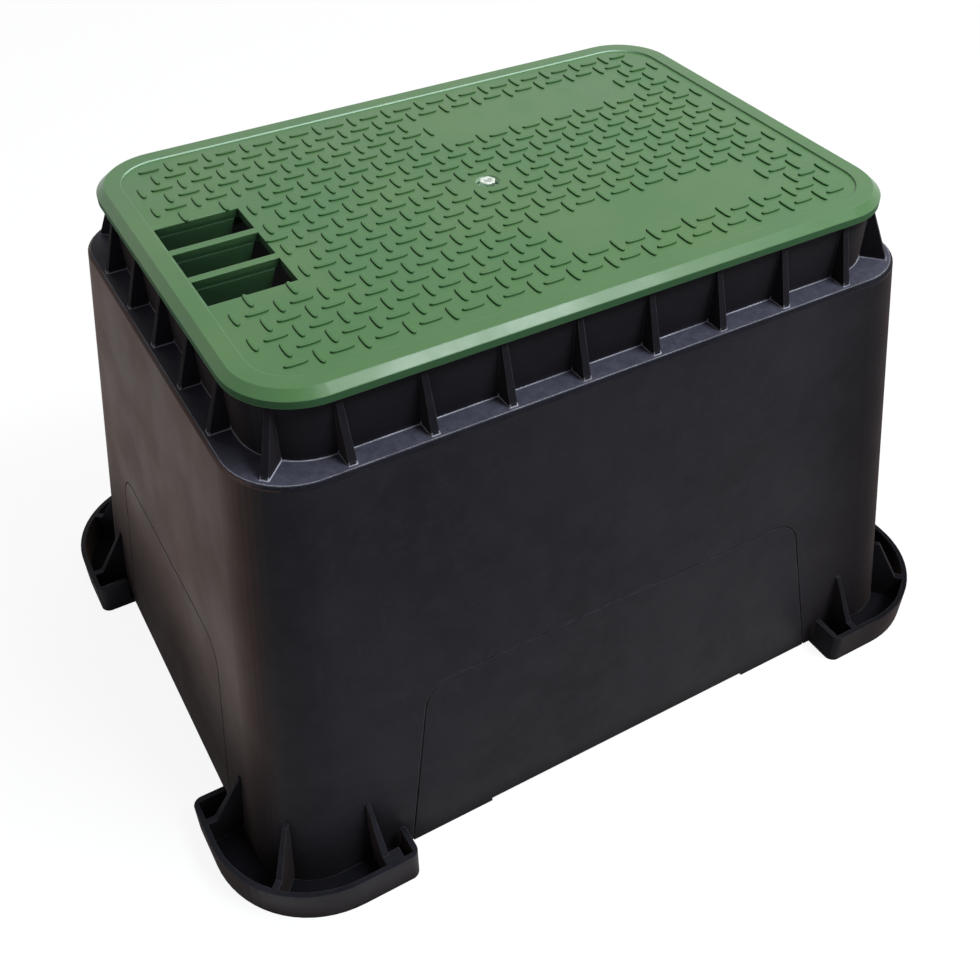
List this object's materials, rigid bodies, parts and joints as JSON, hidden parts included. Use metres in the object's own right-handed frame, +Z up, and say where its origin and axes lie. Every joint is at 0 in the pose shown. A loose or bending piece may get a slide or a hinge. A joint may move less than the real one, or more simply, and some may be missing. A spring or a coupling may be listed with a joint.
{
  "type": "irrigation valve box",
  "caption": "Flared rectangular ground box with a gusseted neck, corner feet and scored knock-outs, closed by a treaded bolt-down lid with finger slots.",
  "frame": {"origin": "on the ground under the middle of the box", "axes": "+X along the long side, away from the finger slots; +Y along the short side; +Z up"},
  "size_m": [0.5074, 0.3834, 0.3058],
  "materials": {
    "black_plastic": "matte",
    "green_plastic": "matte",
    "stainless": "satin",
    "plated_steel": "satin"
  },
  "bodies": {
    "box": {"body": "black_plastic"},
    "cover": {"lid": "green_plastic", "bolt_washer": "stainless"},
    "lock": {"lid_bolt": "stainless", "lock_bar": "plated_steel", "lock_nut": "plated_steel"}
  },
  "joints": [
    {"name": "lid_lift", "type": "slide", "parent": "box", "child": "cover", "axis": [0, 0, 1], "range_m": [0, 0.12]},
    {"name": "lock_turn", "type": "hinge", "parent": "cover", "child": "lock", "pos_m": [0, 0, 0.258], "axis": [0, 0, 1], "range_deg": [0, 90]}
  ]
}
